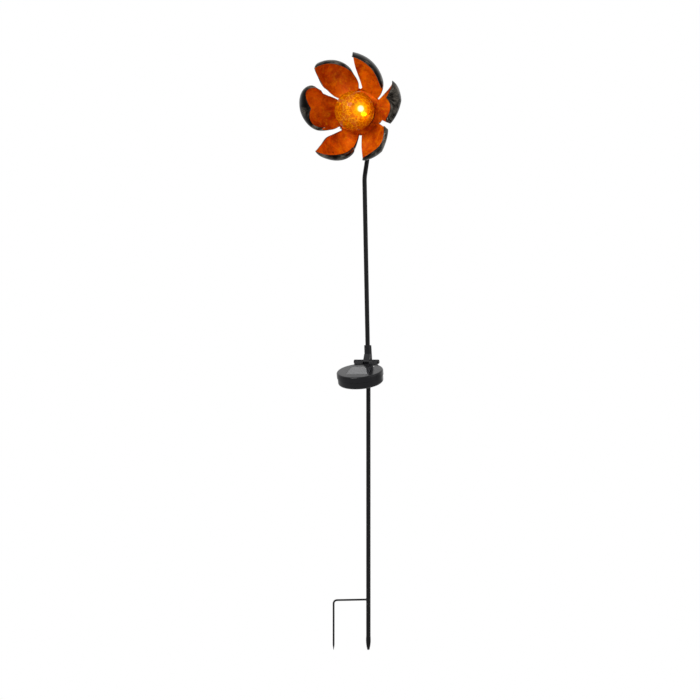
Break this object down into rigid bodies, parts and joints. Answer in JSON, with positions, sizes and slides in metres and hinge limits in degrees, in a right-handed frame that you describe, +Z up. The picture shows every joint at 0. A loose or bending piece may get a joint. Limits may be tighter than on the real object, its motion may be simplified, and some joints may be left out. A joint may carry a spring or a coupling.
{
  "type": "solar garden light",
  "caption": "Stake light: an upright flower of bent metal petals round a glowing glass ball, on a bent pole above a tilting round solar panel and a two-pronged stake.",
  "frame": {"origin": "on the lower pole's axis at the soil line, the underside of the step prong's crossbar", "axes": "+Z up along the lower pole, -Y towards the front that the flower and the panel face, +X to the right seen from the front"},
  "size_m": [0.1661, 0.1333, 0.9566],
  "materials": {
    "black_steel": "semi-gloss powder coat",
    "black_plastic": "satin",
    "panel_plastic": "gloss",
    "black_hinge": "satin",
    "lead_jacket": "satin",
    "bloom_enamel": "glossy mottled enamel inside, brushed gunmetal outside",
    "amber_glass": "clear crackle",
    "black_rubber": "matte",
    "gunmetal": "satin",
    "circuit_green": "satin",
    "led_lens": "clear",
    "zinc_steel": "zinc plated",
    "silicon": "dark cell",
    "clear_resin": "clear",
    "cell_sleeve": "gloss sleeve"
  },
  "bodies": {
    "stake": {"lower_pole": "black_steel", "step_prong": "black_steel", "weld_bead": "black_steel"},
    "head": {"coupler": "black_plastic", "upper_pole": "black_steel", "led_lead": "lead_jacket", "bloom": "bloom_enamel", "glass_ball": "amber_glass", "ball_seal": "black_rubber", "back_cup": "gunmetal", "lamp_socket": "black_plastic", "led_board": "circuit_green", "led": "led_lens", "stem_nut": "zinc_steel", "hinge_pin": "black_hinge", "hinge_nut": "black_hinge"},
    "panel": {"panel_lid": "panel_plastic", "panel_base": "panel_plastic", "housing_seal": "black_rubber", "solar_cell": "silicon", "cell_window": "clear_resin", "circuit_board": "circuit_green", "battery": "cell_sleeve", "contact_plus": "zinc_steel", "contact_minus": "zinc_steel", "battery_door": "panel_plastic", "door_screw": "zinc_steel", "switch_housing": "black_plastic", "housing_screws": "zinc_steel"},
    "knob": {"switch_knob": "black_plastic"}
  },
  "joints": [
    {"name": "head_turn", "type": "hinge", "parent": "stake", "child": "head", "pos_m": [0, 0, 0.39], "axis": [0, 0, 1], "continuous": true},
    {"name": "panel_tilt", "type": "hinge", "parent": "head", "child": "panel", "pos_m": [0, -0.01, 0.382], "axis": [1, 0, 0], "range_deg": [-20, 12]},
    {"name": "switch_slide", "type": "slide", "parent": "panel", "child": "knob", "axis": [1, 0, 0], "range_m": [0, 0.003]}
  ]
}
